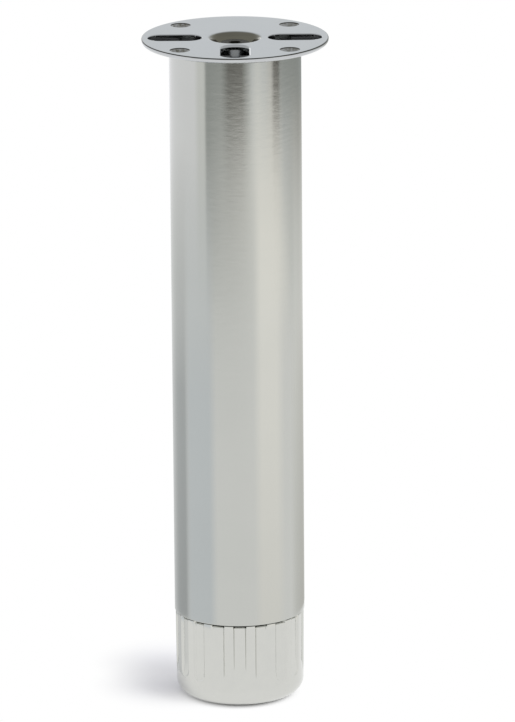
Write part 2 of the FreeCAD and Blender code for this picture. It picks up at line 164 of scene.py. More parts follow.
# Tones of the studio's cards
PALE = (1.03, 1.03, 1.07)
SIDE = (0.76, 0.785, 0.80)
PAPER = (0.88, 0.89, 0.88)
GREY = (0.38, 0.40, 0.39)
DARK = (0.06, 0.056, 0.045)
CREAM = (1.20, 1.17, 1.12)
STONE = (0.50, 0.49, 0.46)
DUSK = (0.68, 0.67, 0.64)
HAZE = (0.60, 0.61, 0.61)
CEILING = (0.56, 0.57, 0.58)

# Tones round the studio from the floor up: degrees from the camera's side, positive to its right
FLOOR_BANDS = ((-180, PAPER), (30, PAPER), (42, CREAM), (92, CREAM), (112, PAPER), (180, PAPER))
LOW_BANDS = (
    (-180, PALE), (-75, PALE), (-66, PAPER), (-55, PAPER), (-51, GREY), (35, CREAM), (76, CREAM), (92, SIDE),
    (122, DUSK), (140, STONE), (170, STONE), (180, PALE),
)
MIDDLE_BANDS = (
    (-180, PALE), (-75, PALE), (-66, PAPER), (-55, PAPER), (-51, GREY), (-24, GREY), (-11, DARK), (11, DARK),
    (20, GREY), (29, SIDE), (38, PAPER), (50, SIDE), (64, DUSK), (70, DARK), (79, DARK), (84, GREY),
    (170, GREY), (180, PALE),
)
HIGH_BANDS = ((-180, SIDE), (-158, SIDE), (-142, HAZE), (142, HAZE), (158, SIDE), (180, SIDE))
CEILING_BANDS = ((-180, CEILING), (180, CEILING))

# The bands over the floor's, with the heights between which the cards change to them
CARDS = (
    (LOW_BANDS, (0.0, 0.11)),
    (MIDDLE_BANDS, (0.102, 0.118)),
    (HIGH_BANDS, (0.25, 0.38)),
    (CEILING_BANDS, (0.89, 0.899)),
)

# Clear rings near the tube and the foot, with cards in them: a band's fourth value is how solid it is
STRIP = (0.60, 0.62, 0.64)
WHITE = (1.09, 1.09, 1.09)
BLUE = (0.89, 0.935, 0.99)
SHADE = (0.90, 0.90, 0.88)
TUBE_BANDS = (
    (-180, (*STRIP, 0.4)), (-122, (*STRIP, 0.7)), (-104, (*STRIP, 1.0)), (-82, (*STRIP, 1.0)),
    (-70, (*STRIP, 0.0)), (20, (*CREAM, 0.0)), (31, (*CREAM, 0.6)), (54, (*CREAM, 0.6)), (68, (*CREAM, 0.0)),
    (80, (*SHADE, 0.0)), (95, (*SHADE, 1.0)), (125, (*DUSK, 1.0)), (180, (*DUSK, 0.6)),
)
BLUE_BANDS = (
    (-180, (*BLUE, 0.0)), (-82, (*BLUE, 0.0)), (-70, (*BLUE, 0.9)), (-38, (*BLUE, 0.9)), (-28, (*BLUE, 0.0)),
    (180, (*BLUE, 0.0)),
)
FOOT_BANDS = (
    (-180, (*STRIP, 0.0)), (-135, (*STRIP, 0.6)), (-98, (*STRIP, 0.6)), (-88, (*STRIP, 0.0)),
    (-64, (*WHITE, 0.0)), (-52, (*WHITE, 1.0)), (62, (*WHITE, 1.0)), (76, (*WHITE, 0.0)),
    (180, (*STRIP, 0.0)),
)

# How bright the near cards are at two heights, and the heights between which they end
NEAR_GAIN = ((0.03, 0.9), (0.22, 1.15))
BLUE_GAIN = ((0.03, 0.9), (0.22, 0.92))
NEAR_FADE = (0.14, 0.26)

# Where the floor keeps its shadow: under the foot and beside it, and the distances over which it turns white
SHADOW_ZONES = (
    (Vector((0.0, 0.0, 0.0)), (0.020, 0.029)),
    (Vector((-0.030, 0.010, 0.0)), (0.002, 0.042)),
    (Vector((-0.030, 0.045, 0.0)), (0.002, 0.042)),
)

# Fineness
TURN_SEGMENTS = 256
RING_SEGMENTS = 128
HOLE_SEGMENTS = 64
DISC_SEGMENTS = 64
ARC_STEPS = 6
FLUTE_COLUMNS = (4, 8, 12, 8, 4)     # over half a land, a flute's side, floor and side, and half a land
FOOT_ROWS = (4, 28, 10, 4)           # over the foot below the flutes, their ends, their length and the rim
THREAD_COLUMNS = 48
SHARP_ANGLE = math.radians(35.0)
NORMAL_WEIGHT = 90
MERGE_DISTANCE = 1e-6
OVERLAP = 0.001                      # by which ribs and cutters reach past a face

# Noise in the materials: how rough it is, and the range in which most of it lies
NOISE_ROUGHNESS = 0.6
NOISE_LOW = 0.3
NOISE_HIGH = 0.7

# Radii and heights that follow
FOOT_TOP_R = TUBE_R - FOOT_STEP
FOOT_LOW_R = FOOT_TOP_R - FOOT_DRAFT
PLATE_UNDER = PLATE_TOP - PLATE_THICKNESS
RECESS_R = FOOT_LOW_R - FOOT_BOTTOM_ROUND - FOOT_RIM
RECESS_TOP = FOOT_BOTTOM + RECESS_DEPTH
BEAD_Z = RECESS_TOP - RECESS_DEPTH / 2
HEAD_TOP = SPINDLE_LOW.z + SPINDLE_HEAD_HEIGHT
FLUTE_END = FOOT_BOTTOM + FLUTE_FOOT + FLUTE_HALF


def rounded(corners, closed=True):
    """Points along a half section. A corner is (radius, height), or (radius, height, rounding)."""
    points = []
    count = len(corners)
    for i, corner in enumerate(corners):
        here = Vector(corner[:2])
        rounding = corner[2] if len(corner) > 2 else 0.0
        at_end = not closed and i in (0, count - 1)
        if rounding <= 0 or at_end:
            points.append(here)
            continue
        back = (Vector(corners[i - 1][:2]) - here).normalized()
        ahead = (Vector(corners[(i + 1) % count][:2]) - here).normalized()
        half = back.angle(ahead) / 2
        middle = here + (back + ahead).normalized() * rounding / math.sin(half)
        start = here + back * rounding / math.tan(half) - middle
        turn = start.angle_signed(here + ahead * rounding / math.tan(half) - middle)
        for step in range(ARC_STEPS + 1):
            points.append(middle + Matrix.Rotation(-turn * step / ARC_STEPS, 2) @ start)
    return points


def clean(bm):
    """Merges points that lie together and drops faces without area."""
    bmesh.ops.remove_doubles(bm, verts=bm.verts, dist=MERGE_DISTANCE)
    bmesh.ops.dissolve_degenerate(bm, edges=bm.edges, dist=MERGE_DISTANCE)


def new_piece(name, bm):
    """An object from a bmesh, smooth but for its sharp edges."""
    clean(bm)
    bmesh.ops.recalc_face_normals(bm, faces=bm.faces)
    mesh = bpy.data.meshes.new(name)
    bm.to_mesh(mesh)
    bm.free()
    mesh.shade_smooth()
    mesh.set_sharp_from_angle(angle=SHARP_ANGLE)
    piece = bpy.data.objects.new(name, mesh)
    bpy.context.scene.collection.objects.link(piece)
    return piece


def even_normals(piece):
    """Keeps the flat faces flat beside small roundings."""
    modifier = piece.modifiers.new("normals", "WEIGHTED_NORMAL")
    modifier.keep_sharp = True
    modifier.weight = NORMAL_WEIGHT
    return piece


def add_rings(bm, rings, closed=False):
    """Joins rings of points with faces and gives their vertices. A ring of one point closes to a tip."""
    made = [[bm.verts.new(p) for p in ring] for ring in rings]
    pairs = list(zip(made, made[1:]))
    if closed:
        pairs.append((made[-1], made[0]))
    for a, b in pairs:
        for i in range(max(len(a), len(b))):
            j = i + 1
            corners = [a[i % len(a)], a[j % len(a)], b[j % len(b)], b[i % len(b)]]
            face = list(dict.fromkeys(corners))
            if len(face) > 2:
                bm.faces.new(face)
    return made


def circle(radius, z, x=0.0, y=0.0, segments=TURN_SEGMENTS):
    if radius < MERGE_DISTANCE:
        return [Vector((x, y, z))]
    return [
        Vector((x + radius * math.cos(a), y + radius * math.sin(a), z))
        for a in (2 * math.pi * i / segments for i in range(segments))
    ]


def obround(half, z, angle):
    """Outline of a slot that points along an angle."""
    points = []
    steps = HOLE_SEGMENTS // 2
    for end, first in ((SLOT_END, -math.pi / 2), (SLOT_START, math.pi / 2)):
        for i in range(steps + 1):
            a = first + math.pi * i / steps
            points.append(Vector((end + half * math.cos(a), half * math.sin(a), z)))
    return [Matrix.Rotation(angle, 3, "Z") @ p for p in points]


def turned(name, corners):
    bm = bmesh.new()
    add_rings(bm, [circle(p.x, p.y) for p in rounded(corners)], closed=True)
    return even_normals(new_piece(name, bm))


def loop_edges(bm, ring):
    return [bm.edges.get((a, b)) for a, b in zip(ring, ring[1:] + ring[:1])]


def tube():
    bore_r = TUBE_R - TUBE_WALL
    return turned("tube_skin", [
        (bore_r, TUBE_LOW.z), (TUBE_R, TUBE_LOW.z, TUBE_EDGE_ROUND),
        (TUBE_R, TUBE_HIGH.z), (bore_r, TUBE_HIGH.z),
    ])


def rim_section():
    """Half section of the plate's rim, from its top face to its underside."""
    return rounded([
        (PLATE_R - PLATE_EDGE_ROUND, PLATE_TOP), (PLATE_R, PLATE_TOP, PLATE_EDGE_ROUND),
        (PLATE_R, PLATE_UNDER, PLATE_LOW_ROUND), (PLATE_R - PLATE_LOW_ROUND, PLATE_UNDER),
    ], closed=False)


def dish_section():
    """Half section of the plate's dish, whose wall is as thick as the sheet."""
    bend = DISH_BEND + PLATE_THICKNESS
    miter = PLATE_THICKNESS * math.tan(DISH_WALL_ANGLE / 2)
    rim_r = DISH_RIM_R - bend * math.tan(DISH_WALL_ANGLE / 2)
    floor_r = rim_r - (PLATE_TOP - DISH_FLOOR) / math.tan(DISH_WALL_ANGLE)
    floor_under = DISH_FLOOR - PLATE_THICKNESS
    return rounded([
        (DISH_RIM_R, PLATE_TOP), (rim_r, PLATE_TOP, bend), (floor_r, DISH_FLOOR, DISH_BEND),
        (BOLT_HOLE_R, DISH_FLOOR), (BOLT_HOLE_R, floor_under), (floor_r + miter, floor_under, bend),
        (rim_r + miter, PLATE_UNDER, DISH_BEND), (rim_r + miter + DISH_BEND, PLATE_UNDER),
    ], closed=False)


def hole_section():
    """Half section of a countersunk screw hole."""
    return rounded([
        (COUNTERSINK_R + COUNTERSINK_ROUND, PLATE_TOP), (COUNTERSINK_R, PLATE_TOP, COUNTERSINK_ROUND),
        (COUNTERSINK_R, PLATE_TOP - COUNTERSINK_LIP), (SCREW_HOLE_R, PLATE_TOP - COUNTERSINK_DEPTH),
        (SCREW_HOLE_R, PLATE_UNDER, BURR_ROUND), (SCREW_HOLE_R + BURR_ROUND, PLATE_UNDER),
    ], closed=False)


def slot_section(rounding):
    """Half section across a slot, with its upper edge rounded."""
    return rounded([
        (SLOT_HALF + rounding, PLATE_TOP), (SLOT_HALF, PLATE_TOP, rounding),
        (SLOT_HALF, PLATE_UNDER, BURR_ROUND), (SLOT_HALF + BURR_ROUND, PLATE_UNDER),
    ], closed=False)


def plate():
    """Stamped sheet: strips of rings for its rim, dish, holes and slots, and flat faces between them."""
    strips = [[circle(p.x, p.y) for p in section] for section in (rim_section(), dish_section())]
    for angle in map(math.radians, SCREW_ANGLES):
        x, y = SCREW_RING_R * math.cos(angle), SCREW_RING_R * math.sin(angle)
        strips.append([circle(p.x, p.y, x, y, HOLE_SEGMENTS) for p in hole_section()])
    for degrees, rounding in SLOTS:
        strips.append([obround(p.x, p.y, math.radians(degrees)) for p in slot_section(rounding)])
    bm = bmesh.new()
    top_edges, under_edges = [], []
    for strip in strips:
        made = add_rings(bm, strip)
        top_edges += loop_edges(bm, made[0])
        under_edges += loop_edges(bm, made[-1])
    bmesh.ops.triangle_fill(bm, use_beauty=True, edges=top_edges, normal=(0, 0, 1))
    bmesh.ops.triangle_fill(bm, use_beauty=True, edges=under_edges, normal=(0, 0, -1))
    return even_normals(new_piece("plate_sheet", bm))


def spread(stops, counts):
    """Numbers from stop to stop, with a count of steps for each gap. The last stop is left out."""
    return [
        start + (end - start) * i / count
        for start, end, count in zip(stops, stops[1:], counts)
        for i in range(count)
    ]


def flute_angles():
    """Each column of the foot's skin: the angle of its flute's middle, and its own angle from there."""
    pitch = 2 * math.pi / FLUTE_COUNT
    inner = (FLUTE_HALF - FLUTE_EDGE) / FOOT_TOP_R
    outer = (FLUTE_HALF + FLUTE_EDGE) / FOOT_TOP_R
    offsets = spread((-pitch / 2, -outer, -inner, inner, outer, pitch / 2), FLUTE_COLUMNS)
    return [(k * pitch - math.pi / 2, offset) for k in range(FLUTE_COUNT) for offset in offsets]


def fluted(radius, z, offset):
    """Radius of the foot's skin, where a flute with a flat floor and soft sides may be cut into it."""
    across = abs(FOOT_TOP_R * math.sin(offset))
    below = max(0.0, FLUTE_END - z)
    inside = FLUTE_HALF - math.hypot(across, below)
    share = min(1.0, max(0.0, (inside + FLUTE_EDGE) / (2 * FLUTE_EDGE)))
    share = share * share * (3 - 2 * share)
    run_radius = (FLUTE_RUN_OUT ** 2 + FLUTE_RISE ** 2) / (2 * FLUTE_RISE)
    run = min(FLUTE_RUN_OUT, max(0.0, FLUTE_END - FLUTE_HALF + FLUTE_RUN_OUT - z))
    floor_r = FOOT_TOP_R - FLUTE_DEPTH + run_radius - math.sqrt(run_radius ** 2 - run ** 2)
    floor_r -= max(0.0, z - FOOT_TOP + FLUTE_RELIEF)
    return radius - share * max(0.0, radius - floor_r / math.cos(offset))


def side_r(z):
    """Radius of the foot's drafted side."""
    return FOOT_LOW_R + FOOT_DRAFT * (z - FOOT_BOTTOM) / (FOOT_TOP - FOOT_BOTTOM)


def foot_section():
    """Half section of the foot, and the place in it of the last point that the flutes may move."""
    end_low = FLUTE_END - FLUTE_HALF - 2 * FLUTE_EDGE
    side_low = FOOT_BOTTOM + FOOT_BOTTOM_ROUND
    stops = (side_low, end_low, FLUTE_END, FOOT_TOP - FLUTE_RELIEF, FOOT_TOP - FOOT_TOP_ROUND)
    heights = spread(stops, FOOT_ROWS)
    base = rounded([
        (RECESS_R, FOOT_BOTTOM), (FOOT_LOW_R, FOOT_BOTTOM, FOOT_BOTTOM_ROUND), (side_r(side_low), side_low),
    ], closed=False)[:-1]
    side = [Vector((side_r(z), z)) for z in heights[1:]]
    top = rounded([
        (side_r(heights[-1]), heights[-1]), (FOOT_TOP_R, FOOT_TOP, FOOT_TOP_ROUND),
        (FOOT_TOP_R - FOOT_WALL, FOOT_TOP, FOOT_INNER_ROUND),
        (FOOT_LOW_R - FOOT_WALL, RECESS_TOP + FOOT_FLOOR, FOOT_CAVITY_ROUND),
        (FOOT_BOSS_R, RECESS_TOP + FOOT_FLOOR), (FOOT_BOSS_R, BOSS_TOP, FOOT_INNER_ROUND),
        (SPINDLE_R + THREAD_PLAY, BOSS_TOP), (SPINDLE_R + THREAD_PLAY, RECESS_TOP),
        (RECESS_R, RECESS_TOP), (RECESS_R, BEAD_Z + BEAD_HEIGHT / 2),
        (RECESS_R + BEAD, BEAD_Z), (RECESS_R, BEAD_Z - BEAD_HEIGHT / 2), (RECESS_R, FOOT_BOTTOM),
    ], closed=False)[1:-1]
    return base + side + top, len(base) + len(side) + ARC_STEPS


def foot():
    """Fluted cup, with a ribbed boss inside and a recess for the glide under it."""
    section, last_fluted = foot_section()
    columns = flute_angles()
    bm = bmesh.new()
    rings = []
    for i, point in enumerate(section):
        ring = []
        for middle, offset in columns:
            radius = fluted(point.x, point.y, offset) if i <= last_fluted else point.x
            angle = middle + offset
            ring.append(Vector((radius * math.cos(angle), radius * math.sin(angle), point.y)))
        rings.append(ring)
    add_rings(bm, rings, closed=True)
    shell = new_piece("foot_shell", bm)
    combine(shell, foot_ribs(), "UNION")
    pocket = hexagon("head_pocket", SPINDLE_HEAD_AF + 2 * HEX_PLAY, RECESS_TOP - OVERLAP, HEAD_TOP)
    combine(shell, pocket, "DIFFERENCE")
    return even_normals(shell)


def foot_ribs():
    """Webs between the boss and the wall, as closed boxes that reach into both."""
    bm = bmesh.new()
    inner = FOOT_BOSS_R - OVERLAP
    outer = FOOT_LOW_R - FOOT_WALL / 2
    bottom = RECESS_TOP + FOOT_FLOOR / 2
    size = Vector((outer - inner, RIB_THICKNESS, BOSS_TOP - bottom))
    for i in range(RIB_COUNT):
        place = Matrix.Rotation(2 * math.pi * (i + 0.5) / RIB_COUNT, 4, "Z")
        place = place @ Matrix.Translation(((outer + inner) / 2, 0, (BOSS_TOP + bottom) / 2))
        bmesh.ops.create_cube(bm, size=1.0, matrix=place @ Matrix.Diagonal((*size, 1.0)))
    return new_piece("foot_ribs", bm)


def hexagon(name, across_flats, bottom, top):
    bm = bmesh.new()
    made = add_rings(bm, [circle(across_flats / math.sqrt(3), z, segments=6) for z in (bottom, top)])
    bm.faces.new(made[0])
    bm.faces.new(made[1])
    return new_piece(name, bm)


def combine(piece, other, operation):
    """Adds another solid to a piece or cuts it out, and removes the other."""
    modifier = piece.modifiers.new("combine", "BOOLEAN")
    modifier.object = other
    modifier.operation = operation
    modifier.solver = "EXACT"
    settle(piece)
    bpy.data.objects.remove(other)


def settle(piece):
    """Replaces a piece's mesh by what its modifiers make of it."""
    evaluated = piece.evaluated_get(bpy.context.evaluated_depsgraph_get())
    mesh = bpy.data.meshes.new_from_object(evaluated)
    bm = bmesh.new()
    bm.from_mesh(mesh)
    clean(bm)
    bm.to_mesh(mesh)
    bm.free()
    piece.modifiers.clear()
    piece.data = mesh
    mesh.set_sharp_from_angle(angle=SHARP_ANGLE)


def glide():
    radius = RECESS_R - GLIDE_PLAY
    return turned("glide_disc", [
        (0, GLIDE_LOW.z), (radius, GLIDE_LOW.z, GLIDE_EDGE_ROUND),
        (radius, BEAD_Z - BEAD_HEIGHT / 2), (radius + BEAD, BEAD_Z), (radius, BEAD_Z + BEAD_HEIGHT / 2),
        (radius, GLIDE_HIGH.z), (0, GLIDE_HIGH.z),
    ])


def spindle():
    """Hexagon bolt, head down, with a cut thread that follows its helix."""
    bm = bmesh.new()
    rows = len(THREAD_FORM)
    start = HEAD_TOP - OVERLAP / 2
    turns = math.ceil((SPINDLE_HIGH.z - start) / THREAD_PITCH) + 1
    grid = []
    for i in range(THREAD_COLUMNS):
        line = []
        for j in range(-rows, turns * rows + 1):
            z = start + THREAD_PITCH * (j / rows + i / THREAD_COLUMNS)
            z = min(SPINDLE_HIGH.z, max(start, z))
            radius = SPINDLE_R - THREAD_DEPTH * THREAD_FORM[j % rows]
            radius = min(radius, SPINDLE_R - END_CHAMFER + SPINDLE_HIGH.z - z)
            angle = 2 * math.pi * i / THREAD_COLUMNS
            line.append(bm.verts.new((radius * math.cos(angle), radius * math.sin(angle), z)))
        grid.append(line)
    for i in range(THREAD_COLUMNS):
        lift = rows if i == THREAD_COLUMNS - 1 else 0
        following = grid[(i + 1) % THREAD_COLUMNS]
        for j in range(len(grid[i]) - 1 - lift):
            bm.faces.new((grid[i][j], following[j + lift], following[j + 1 + lift], grid[i][j + 1]))
    clean(bm)
    bmesh.ops.holes_fill(bm, edges=[e for e in bm.edges if e.is_boundary])
    shank = new_piece("spindle_screw", bm)
    combine(shank, hexagon("spindle_head", SPINDLE_HEAD_AF, SPINDLE_LOW.z, HEAD_TOP), "UNION")
    return shank


def node(tree, kind, values=None, **settings):
    """A shader node with its settings and its inputs' plain values."""
    made = tree.nodes.new(kind)
    for name, value in settings.items():
        setattr(made, name, value)
    for name, value in (values or {}).items():
        made.inputs[name].default_value = value
    return made


def stretched(tree, scale):
    """Object coordinates, scaled along each axis."""
    coordinates = node(tree, "ShaderNodeTexCoord")
    mapping = node(tree, "ShaderNodeMapping", {"Scale": scale})
    tree.links.new(coordinates.outputs["Object"], mapping.inputs["Vector"])
    return mapping.outputs["Vector"]


def noise(tree, scale, detail, stretch=(1, 1, 1)):
    made = node(tree, "ShaderNodeTexNoise", {"Scale": scale, "Detail": detail, "Roughness": NOISE_ROUGHNESS})
    tree.links.new(stretched(tree, stretch), made.inputs["Vector"])
    return made.outputs["Fac"]


def remap(tree, value, start, end, low=0.0, high=1.0, kind="LINEAR"):
    """Low up to the start of a range and high from its end on. The range may run downwards."""
    limits = {"From Min": start, "From Max": end, "To Min": low, "To Max": high}
    made = node(tree, "ShaderNodeMapRange", limits, interpolation_type=kind)
    tree.links.new(value, made.inputs["Value"])
    return made.outputs["Result"]


def between(tree, value, low, high):
    """Spreads a noise over a range of plain numbers."""
    return remap(tree, value, NOISE_LOW, NOISE_HIGH, low, high)


def two_tone(tree, value, first, second):
    made = node(tree, "ShaderNodeMix", {"A": (*first, 1.0), "B": (*second, 1.0)}, data_type="RGBA")
    tree.links.new(between(tree, value, 0.0, 1.0), made.inputs["Factor"])
    return made.outputs["Result"]


def bumps(tree, layers):
    """Stacks bump layers, each (height, distance in metres)."""
    normal = None
    for height, distance in layers:
        made = node(tree, "ShaderNodeBump", {"Strength": 1.0, "Distance": distance})
        tree.links.new(height, made.inputs["Height"])
        if normal is not None:
            tree.links.new(normal, made.inputs["Normal"])
        normal = made.outputs["Normal"]
    return normal


def new_material(name, constants):
    """A material with its Principled shader, whose plain values are set."""
    material = bpy.data.materials.new(name)
    material.use_nodes = True
    shader = material.node_tree.nodes["Principled BSDF"]
    for socket, value in constants.items():
        shader.inputs[socket].default_value = value
    return material, material.node_tree, shader


def connect(tree, shader, color, roughness, normal):
    for socket, value in (("Base Color", color), ("Roughness", roughness), ("Normal", normal)):
        tree.links.new(value, shader.inputs[socket])


def tube_chrome():
    """Chrome over fine grinding round the tube, which draws reflections out along it."""
    material, tree, shader = new_material("tube_chrome", {
        "Metallic": 1.0, "Anisotropic": 0.6, "Anisotropic Rotation": 0.25,
    })
    tangent = node(tree, "ShaderNodeTangent", direction_type="RADIAL", axis="Z")
    tree.links.new(tangent.outputs["Tangent"], shader.inputs["Tangent"])
    grinding = noise(tree, 1.0, 5.0, (25, 25, 5200))
    ripple = noise(tree, 1.0, 2.0, (200, 200, 460))
    cloud = noise(tree, 18.0, 3.0)
    connect(
        tree, shader,
        two_tone(tree, cloud, (0.532, 0.540, 0.514), (0.550, 0.557, 0.530)),
        between(tree, grinding, 0.12, 0.17),
        bumps(tree, [(grinding, 0.000002), (ripple, 0.000018)]),
    )
    return material


def from_axis(tree, x, y):
    """Distance from an upright axis, the same in each quarter of the plate."""
    value = node(tree, "ShaderNodeTexCoord").outputs["Object"]
    for operation, other in (("ABSOLUTE", None), ("MULTIPLY", (1.0, 1.0, 0.0)), ("DISTANCE", (x, y, 0.0))):
        step = node(tree, "ShaderNodeVectorMath", operation=operation)
        tree.links.new(value, step.inputs[0])
        if other is not None:
            step.inputs[1].default_value = other
        value = step.outputs[0]
    return step.outputs["Value"]


def combined(tree, operation, values):
    """One number from several, by an operation of two."""
    total = values[0]
    for value in values[1:]:
        made = node(tree, "ShaderNodeMath", operation=operation)
        tree.links.new(total, made.inputs[0])
        tree.links.new(value, made.inputs[1])
        total = made.outputs["Value"]
    return total


def upright(tree, output):
    """The upright part of the place or of the normal, in the piece's own frame."""
    made = node(tree, "ShaderNodeSeparateXYZ")
    tree.links.new(node(tree, "ShaderNodeTexCoord").outputs[output], made.inputs["Vector"])
    return made.outputs["Z"]


def from_screw(tree):
    """Distance from the axis of the nearest screw hole."""
    return from_axis(tree, SCREW_RING_R * math.sqrt(0.5), SCREW_RING_R * math.sqrt(0.5))


def painted_shade_places(tree):
    """Painted shade: 1 in the plate's dish and patches in its countersinks, 0 on its flat."""
    dish = combined(tree, "MULTIPLY", [
        remap(tree, from_axis(tree, 0.0, 0.0), DISH_RIM_R + DISH_SHADE_FULL, DISH_RIM_R),
        remap(tree, upright(tree, "Object"), PLATE_TOP - DISH_SHADE_START, PLATE_TOP - DISH_SHADE_FULL),
        remap(tree, upright(tree, "Normal"), 0.0, DISH_SHADE_FACING),
    ])
    countersinks = combined(tree, "MULTIPLY", [
        remap(tree, from_screw(tree), COUNTERSINK_R + EDGE_FADE, COUNTERSINK_R),
        between(tree, noise(tree, 620.0, 2.0), 0.1, 1.0),
    ])
    return combined(tree, "MAXIMUM", [dish, countersinks])


def painted_dark_edges(tree):
    """Painted dark reflection: 1 along the upper edges of the plate's rim and screw holes."""
    start = PLATE_R - PLATE_EDGE_ROUND
    edges = combined(tree, "MAXIMUM", [
        remap(tree, from_axis(tree, 0.0, 0.0), start, start + EDGE_FADE),
        remap(tree, from_screw(tree), COUNTERSINK_R + EDGE_FADE, COUNTERSINK_R),
    ])
    near_top = remap(tree, upright(tree, "Object"), PLATE_TOP - EDGE_LINE - EDGE_FADE, PLATE_TOP - EDGE_LINE)
    return combined(tree, "MULTIPLY", [edges, near_top])


def blend(tree, share, first, second):
    """One colour where a share is 0, another where it is 1."""
    made = node(tree, "ShaderNodeMix", data_type="RGBA")
    for socket, value in (("Factor", share), ("A", first), ("B", second)):
        tree.links.new(value, made.inputs[socket])
    return made.outputs["Result"]


def plate_chrome():
    """Bright chrome on wavy sheet, with painted shade in the dish and in patches in the countersinks, and a
    painted dark reflection along edges.
    """
    material, tree, shader = new_material("plate_chrome", {"Metallic": 1.0})
    wave = noise(tree, 45.0, 2.0)
    haze = noise(tree, 140.0, 5.0)
    bright = two_tone(tree, haze, (0.545, 0.560, 0.575), (0.560, 0.572, 0.582))
    # painted shade, olive, for the dish and the countersinks
    shade_tone = two_tone(tree, wave, (0.165, 0.158, 0.125), (0.200, 0.192, 0.155))
    # painted dark reflection along the upper edges of the rim and the screw holes
    dark = two_tone(tree, haze, (0.055, 0.054, 0.046), (0.085, 0.083, 0.072))
    connect(
        tree, shader,
        blend(tree, painted_dark_edges(tree), blend(tree, painted_shade_places(tree), bright, shade_tone), dark),
        between(tree, haze, 0.06, 0.11),
        bumps(tree, [(wave, 0.00006)]),
    )
    return material


def foot_plating():
    """Chrome on a moulding: a warmer tone, and soft waves in the surface."""
    material, tree, shader = new_material("foot_plating", {"Metallic": 1.0})
    wave = noise(tree, 90.0, 2.0)
    haze = noise(tree, 260.0, 4.0)
    connect(
        tree, shader,
        two_tone(tree, haze, (0.618, 0.623, 0.594), (0.636, 0.640, 0.608)),
        between(tree, haze, 0.09, 0.16),
        bumps(tree, [(wave, 0.00003)]),
    )
    return material


def glide_plastic():
    """Dark polyethylene with a faint grain."""
    material, tree, shader = new_material("glide_plastic", {"Specular IOR Level": 0.4})
    grain = noise(tree, 900.0, 3.0)
    cloud = noise(tree, 120.0, 2.0)
    connect(
        tree, shader,
        two_tone(tree, cloud, (0.018, 0.018, 0.018), (0.030, 0.030, 0.029)),
        between(tree, grain, 0.45, 0.6),
        bumps(tree, [(grain, 0.00001)]),
    )
    return material


def dark_steel():
    """Black oxide, a little brown and patchy."""
    material, tree, shader = new_material("dark_steel", {"Metallic": 1.0})
    patch = noise(tree, 320.0, 4.0)
    grain = noise(tree, 2400.0, 2.0)
    connect(
        tree, shader,
        two_tone(tree, patch, (0.052, 0.049, 0.041), (0.098, 0.093, 0.078)),
        between(tree, patch, 0.46, 0.60),
        bumps(tree, [(grain, 0.000006)]),
    )
    return material


def zinc_steel():
    """Bright zinc plating with fine crystals and a faint colour shift."""
    material, tree, shader = new_material("zinc_steel", {"Metallic": 1.0})
    patch = noise(tree, 150.0, 3.0)
    grain = noise(tree, 1800.0, 3.0)
    connect(
        tree, shader,
        two_tone(tree, patch, (0.58, 0.60, 0.63), (0.64, 0.64, 0.61)),
        between(tree, grain, 0.24, 0.38),
        bumps(tree, [(grain, 0.000005)]),
    )
    return material


def plug_plastic():
    """Dark nylon with a spark-eroded mould grain."""
    material, tree, shader = new_material("plug_plastic", {"Specular IOR Level": 0.2})
    grain = noise(tree, 1400.0, 3.0)
    cloud = noise(tree, 60.0, 2.0)
    connect(
        tree, shader,
        two_tone(tree, cloud, (0.012, 0.012, 0.013), (0.020, 0.020, 0.021)),
        between(tree, grain, 0.40, 0.55),
        bumps(tree, [(grain, 0.000012)]),
    )
    return material


def paint(piece, material):
    piece.data.materials.clear()
    piece.data.materials.append(material)


def dress():
    """Makes the pieces, paints them and the CAD nodes that stay, and hangs each on its body."""
    materials = {make.__name__: make() for make in (
        tube_chrome, plate_chrome, foot_plating, glide_plastic, dark_steel, zinc_steel, plug_plastic,
    )}
    rebuilt = (
        (tube, "tube", "leg", "tube_chrome"),
        (plate, "top_plate", "leg", "plate_chrome"),
        (foot, "foot", "foot", "foot_plating"),
        (glide, "glide", "glide", "glide_plastic"),
        (spindle, "spindle", "foot", "zinc_steel"),
    )
    for make, cad_node, body, slot in rebuilt:
        piece = make()
        paint(piece, materials[slot])
        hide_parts(cad_node)
        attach(piece, body)
    slots = {entry["node"]: entry["material_slot"] for entry in frame["record"]["subparts"]}
    for cad_node, piece in frame["nodes"].items():
        if not piece.hide_render:
            paint(piece, materials[slots[cad_node]])


def emission_material(name):
    material = bpy.data.materials.new(name)
    material.use_nodes = True
    tree = material.node_tree
    tree.nodes.remove(tree.nodes["Principled BSDF"])
    glow = node(tree, "ShaderNodeEmission")
    tree.links.new(glow.outputs["Emission"], tree.nodes["Material Output"].inputs["Surface"])
    return material, tree, glow


def mix_surfaces(tree, share, first, second):
    """Shows one shader where a share is 0, another where it is 1."""
    mix = node(tree, "ShaderNodeMixShader")
    for i, value in enumerate((share, first, second)):
        tree.links.new(value, mix.inputs[i])
    tree.links.new(mix.outputs["Shader"], tree.nodes["Material Output"].inputs["Surface"])


def ramp(tree, value, bands):
    """Colours along a share of the way round. A band is (degrees, colour), with or without an alpha."""
    made = node(tree, "ShaderNodeValToRGB")
    elements = made.color_ramp.elements
    while len(elements) < len(bands):
        elements.new(1.0)
    for element, (degrees, color) in zip(elements, bands):
        element.position = (degrees + 180) / 360
        element.color = color if len(color) == 4 else (*color, 1.0)
    tree.links.new(value, made.inputs["Fac"])
    return made.outputs


def round_and_up(tree):
    """The share of the way round the leg, from behind it, and the height."""
    coordinates = node(tree, "ShaderNodeTexCoord")
    split = node(tree, "ShaderNodeSeparateXYZ")
    tree.links.new(coordinates.outputs["Object"], split.inputs["Vector"])
    forward = node(tree, "ShaderNodeMath", {1: -1.0}, operation="MULTIPLY")
    tree.links.new(split.outputs["Y"], forward.inputs[0])
    azimuth = combined(tree, "ARCTAN2", [split.outputs["X"], forward.outputs["Value"]])
    return remap(tree, azimuth, -math.pi, math.pi), split.outputs["Z"]


